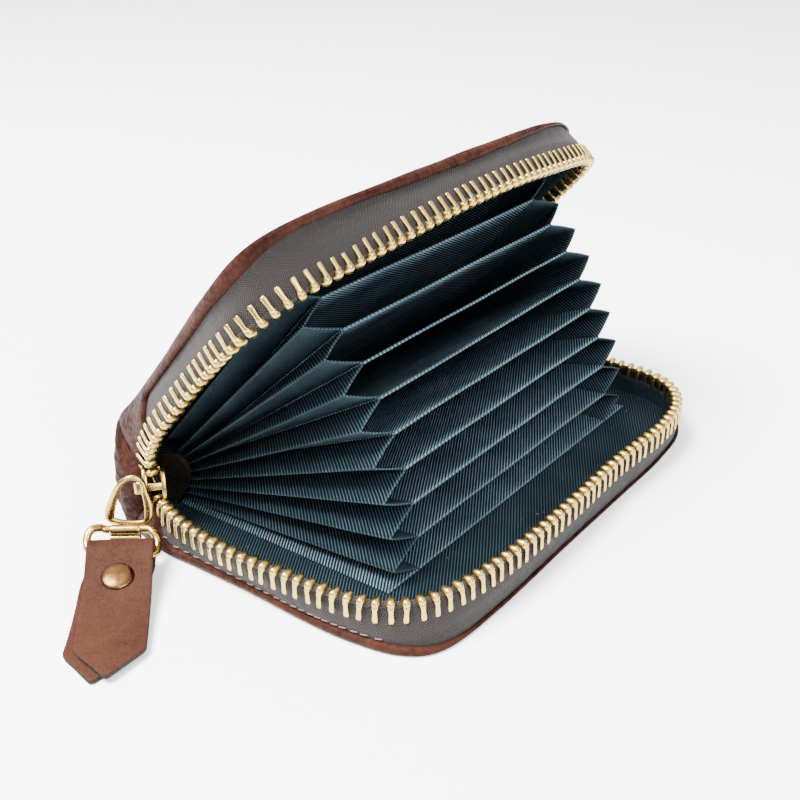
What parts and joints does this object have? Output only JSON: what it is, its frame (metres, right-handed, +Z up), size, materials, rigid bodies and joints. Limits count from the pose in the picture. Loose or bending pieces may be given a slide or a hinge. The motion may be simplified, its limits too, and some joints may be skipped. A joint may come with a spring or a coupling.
{
  "type": "leather wallet",
  "caption": "Zip-around leather card wallet, half open, with a fan of fabric accordion pockets, a brass zip on three sides and a riveted leather pull tab.",
  "frame": {"origin": "centre of the lower cover's underside, on the table", "axes": "+X from the spine to the mouth, +Y along the spine away from the slider, +Z up"},
  "size_m": [0.0825, 0.1429, 0.0693],
  "materials": {
    "leather": "pebbled, soft sheen",
    "dark_leather": "matt",
    "board": "matt stiffener sheet",
    "lining": "ribbed weave",
    "tape": "herringbone weave",
    "brass": "polished, slightly worn"
  },
  "bodies": {
    "lower_half": {"cover_lower_leather": "leather", "board_lower": "board", "lining_lower": "lining", "zip_tape_lower": "tape", "zip_teeth_lower": "brass", "end_panel_lower": "lining", "gusset_near_1": "lining", "gusset_far_1": "lining"},
    "upper_half": {"cover_upper_leather": "leather", "board_upper": "board", "lining_upper": "lining", "zip_tape_upper": "tape", "zip_teeth_upper": "brass", "end_panel_upper": "lining"},
    "spine": {"spine_leather": "leather", "zip_end_near": "brass", "zip_end_far": "brass", "zip_patch_near": "dark_leather", "zip_patch_far": "dark_leather", "zip_bottom_stop": "brass"},
    "slider": {"slider_body": "brass"},
    "stirrup": {"pull_stirrup": "brass", "pull_knuckle": "brass"},
    "ring": {"pull_ring": "brass"},
    "tab": {"pull_tab": "leather", "pull_rivet": "brass"},
    "leaf_1": {"divider_1": "lining", "gusset_near_2": "lining", "gusset_far_2": "lining"},
    "leaf_2": {"divider_2": "lining", "gusset_near_3": "lining", "gusset_far_3": "lining"},
    "leaf_3": {"divider_3": "lining", "gusset_near_4": "lining", "gusset_far_4": "lining"},
    "leaf_4": {"divider_4": "lining", "gusset_near_5": "lining", "gusset_far_5": "lining"},
    "leaf_5": {"divider_5": "lining", "gusset_near_6": "lining", "gusset_far_6": "lining"},
    "leaf_6": {"divider_6": "lining", "gusset_near_7": "lining", "gusset_far_7": "lining"},
    "leaf_7": {"divider_7": "lining", "gusset_near_8": "lining", "gusset_far_8": "lining"},
    "leaf_8": {"divider_8": "lining", "gusset_near_9": "lining", "gusset_far_9": "lining"}
  },
  "joints": [
    {"name": "cover_hinge", "type": "hinge", "parent": "lower_half", "child": "upper_half", "pos_m": [-0.037, 0, 0.0095], "axis": [0, -1, 0], "range_deg": [-46, 34], "deforming": ["gusset_near_9", "gusset_far_9"]},
    {"name": "spine_fold", "type": "hinge", "parent": "lower_half", "child": "spine", "pos_m": [-0.037, 0, 0.0095], "axis": [0, -1, 0], "range_deg": [-23.1, 17.1]},
    {"name": "leaf_1_fold", "type": "hinge", "parent": "lower_half", "child": "leaf_1", "pos_m": [-0.0295, 0, 0.00436], "axis": [0, -1, 0], "range_deg": [-6.08, 4.5], "deforming": ["gusset_near_1", "gusset_far_1"]},
    {"name": "leaf_2_fold", "type": "hinge", "parent": "leaf_1", "child": "leaf_2", "pos_m": [-0.02962, 0, 0.00551], "axis": [0, -1, 0], "range_deg": [-6.08, 4.5], "deforming": ["gusset_near_2", "gusset_far_2"]},
    {"name": "leaf_3_fold", "type": "hinge", "parent": "leaf_2", "child": "leaf_3", "pos_m": [-0.02987, 0, 0.00665], "axis": [0, -1, 0], "range_deg": [-6.08, 4.5], "deforming": ["gusset_near_3", "gusset_far_3"]},
    {"name": "leaf_4_fold", "type": "hinge", "parent": "leaf_3", "child": "leaf_4", "pos_m": [-0.03023, 0, 0.00775], "axis": [0, -1, 0], "range_deg": [-6.08, 4.5], "deforming": ["gusset_near_4", "gusset_far_4"]},
    {"name": "leaf_5_fold", "type": "hinge", "parent": "leaf_4", "child": "leaf_5", "pos_m": [-0.03071, 0, 0.00881], "axis": [0, -1, 0], "range_deg": [-6.08, 4.5], "deforming": ["gusset_near_5", "gusset_far_5"]},
    {"name": "leaf_6_fold", "type": "hinge", "parent": "leaf_5", "child": "leaf_6", "pos_m": [-0.03129, 0, 0.00981], "axis": [0, -1, 0], "range_deg": [-6.08, 4.5], "deforming": ["gusset_near_6", "gusset_far_6"]},
    {"name": "leaf_7_fold", "type": "hinge", "parent": "leaf_6", "child": "leaf_7", "pos_m": [-0.03198, 0, 0.01074], "axis": [0, -1, 0], "range_deg": [-6.08, 4.5], "deforming": ["gusset_near_7", "gusset_far_7"]},
    {"name": "leaf_8_fold", "type": "hinge", "parent": "leaf_7", "child": "leaf_8", "pos_m": [-0.03276, 0, 0.0116], "axis": [0, -1, 0], "range_deg": [-6.08, 4.5], "deforming": ["gusset_near_8", "gusset_far_8"]},
    {"name": "slider_travel", "type": "slide", "parent": "spine", "child": "slider", "axis": [0.9205, 0, 0.3907], "range_m": [-0.002, 0]},
    {"name": "stirrup_swing", "type": "hinge", "parent": "slider", "child": "stirrup", "pos_m": [-0.02586, -0.057, 0.01423], "axis": [0, 0, 1], "range_deg": [-35, 25]},
    {"name": "ring_swing", "type": "hinge", "parent": "stirrup", "child": "ring", "pos_m": [-0.02775, -0.0605, 0.00633], "axis": [0.766, 0.6428, 0], "range_deg": [-55, 55]},
    {"name": "tab_swing", "type": "hinge", "parent": "ring", "child": "tab", "pos_m": [-0.02493, -0.06387, 0.00613], "axis": [0.766, 0.6428, 0], "range_deg": [-35, 35]}
  ],
  "couplings": [
    {"joint": "spine_fold", "follows": "cover_hinge", "ratio": 0.5},
    {"joint": "leaf_1_fold", "follows": "cover_hinge", "ratio": 0.13196},
    {"joint": "leaf_2_fold", "follows": "cover_hinge", "ratio": 0.13196},
    {"joint": "leaf_3_fold", "follows": "cover_hinge", "ratio": 0.13196},
    {"joint": "leaf_4_fold", "follows": "cover_hinge", "ratio": 0.13196},
    {"joint": "leaf_5_fold", "follows": "cover_hinge", "ratio": 0.13196},
    {"joint": "leaf_6_fold", "follows": "cover_hinge", "ratio": 0.13196},
    {"joint": "leaf_7_fold", "follows": "cover_hinge", "ratio": 0.13196},
    {"joint": "leaf_8_fold", "follows": "cover_hinge", "ratio": 0.13196}
  ]
}
